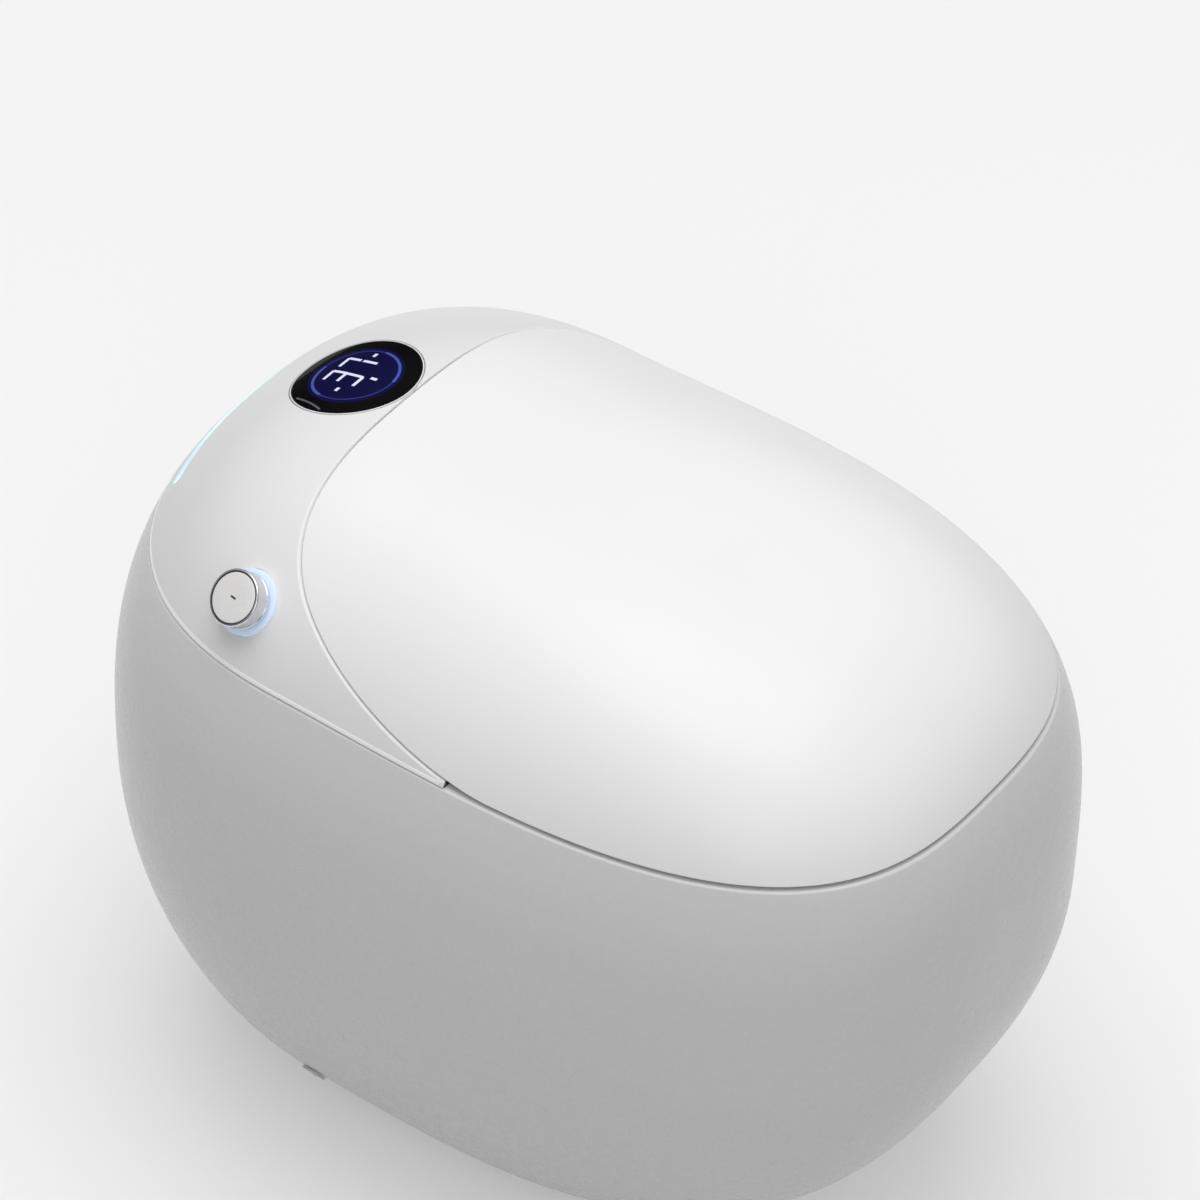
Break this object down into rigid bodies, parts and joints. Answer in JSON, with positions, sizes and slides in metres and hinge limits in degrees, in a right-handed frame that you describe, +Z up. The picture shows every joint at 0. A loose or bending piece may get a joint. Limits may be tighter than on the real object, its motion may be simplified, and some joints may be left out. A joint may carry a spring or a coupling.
{
  "type": "smart toilet with heated seat",
  "caption": "One-piece egg-shaped floor-standing toilet with a domed lid, heated seat, rear unit with round display and side knob, spray wands and pumped flush.",
  "frame": {"origin": "middle of the bounding box in X and Y, on the floor in Z", "axes": "+Z up; +Y towards the wall behind the toilet; the user sits facing -Y; +X to the user's left, so the knob is on the user's right (-X)"},
  "size_m": [0.4402, 0.6122, 0.49],
  "materials": {
    "ceramic": "gloss",
    "white_plastic": "gloss",
    "seat_plastic": "satin",
    "grey_plastic": "matte",
    "dark_plastic": "matte",
    "rubber": "matte",
    "seal_foam": "matte",
    "hose": "matte",
    "steel": "brushed",
    "chrome": "polished",
    "brass": "satin",
    "display_glass": "gloss",
    "display_panel": "matte",
    "light_strip": "satin",
    "heating_film": "matte",
    "carbon": "matte",
    "circuit_board": "satin"
  },
  "bodies": {
    "root": {"ceramic_body": "ceramic", "floor_seal": "seal_foam", "floor_brackets": "steel", "side_screws": "steel", "screw_caps": "white_plastic", "service_panel": "white_plastic", "service_screws": "steel", "water_inlet": "brass", "power_gland": "dark_plastic", "inlet_valve": "grey_plastic", "supply_hose": "hose", "flush_tank": "grey_plastic", "tank_lid": "grey_plastic", "flush_pump": "dark_plastic", "jet_hose": "hose", "base_plate": "grey_plastic", "housing_gasket": "seal_foam", "rear_housing": "white_plastic", "display_lens": "display_glass", "display_bezel": "chrome", "display_module": "display_panel", "rear_light": "light_strip", "rear_fascia": "white_plastic", "hinge_brackets": "steel", "hinge_pins": "steel", "hinge_dampers": "dark_plastic", "wand_front_guide": "grey_plastic", "wand_rear_guide": "grey_plastic", "wand_motors": "steel", "dryer_duct": "grey_plastic", "dryer_blower": "dark_plastic", "deodoriser_duct": "grey_plastic", "deodoriser_housing": "dark_plastic", "carbon_filter": "carbon", "knob_halo": "light_strip", "knob_encoder": "dark_plastic", "water_heater": "grey_plastic", "diverter_valve": "dark_plastic", "air_pump": "dark_plastic", "main_board": "circuit_board"},
    "lid": {"lid_shell": "white_plastic", "lid_liner": "white_plastic", "lid_bumpers": "rubber"},
    "seat": {"seat_top": "seat_plastic", "seat_base": "seat_plastic", "seat_heater": "heating_film", "seat_bumpers": "rubber"},
    "knob_stem": {"knob_stem": "steel"},
    "knob": {"knob_body": "chrome", "knob_cap": "white_plastic"},
    "wash_wand": {"wash_wand": "steel", "wash_wand_tip": "white_plastic"},
    "bidet_wand": {"bidet_wand": "steel", "bidet_wand_tip": "white_plastic"},
    "dryer_flap": {"dryer_flap": "white_plastic"},
    "dryer_impeller": {"dryer_impeller": "dark_plastic"},
    "deodoriser_impeller": {"deodoriser_impeller": "dark_plastic"},
    "pump_impeller": {"pump_impeller": "dark_plastic"}
  },
  "joints": [
    {"name": "seat_hinge", "type": "hinge", "parent": "root", "child": "seat", "pos_m": [0, 0.118, 0.47], "axis": [-1, 0, 0], "range_deg": [0, 86]},
    {"name": "lid_hinge", "type": "hinge", "parent": "seat", "child": "lid", "pos_m": [0, 0.118, 0.47], "axis": [1, 0, 0], "range_deg": [-88, 0]},
    {"name": "knob_press", "type": "slide", "parent": "root", "child": "knob_stem", "axis": [0.7117, -0.1175, -0.6926], "range_m": [0, 0.001], "stiffness_N_per_m": 600, "springref_m": -0.001},
    {"name": "knob_turn", "type": "hinge", "parent": "knob_stem", "child": "knob", "pos_m": [-0.16407, 0.139, 0.437], "axis": [-0.7117, 0.1175, 0.6926], "continuous": true},
    {"name": "wash_slide", "type": "slide", "parent": "root", "child": "wash_wand", "axis": [0, -0.9397, -0.342], "range_m": [0, 0.085]},
    {"name": "bidet_slide", "type": "slide", "parent": "root", "child": "bidet_wand", "axis": [0, -0.9397, -0.342], "range_m": [0, 0.085]},
    {"name": "dryer_flap_hinge", "type": "hinge", "parent": "root", "child": "dryer_flap", "pos_m": [0.0435, 0.0426, 0.398], "axis": [-1, 0, 0], "range_deg": [0, 60]},
    {"name": "dryer_spin", "type": "hinge", "parent": "root", "child": "dryer_impeller", "pos_m": [0.088, 0.118, 0.4225], "axis": [1, 0, 0], "continuous": true},
    {"name": "deodoriser_spin", "type": "hinge", "parent": "root", "child": "deodoriser_impeller", "pos_m": [-0.086, 0.118, 0.416], "axis": [0, 0, 1], "continuous": true},
    {"name": "pump_spin", "type": "hinge", "parent": "root", "child": "pump_impeller", "pos_m": [0.053, 0.2, 0.201], "axis": [0, 0, 1], "continuous": true}
  ]
}
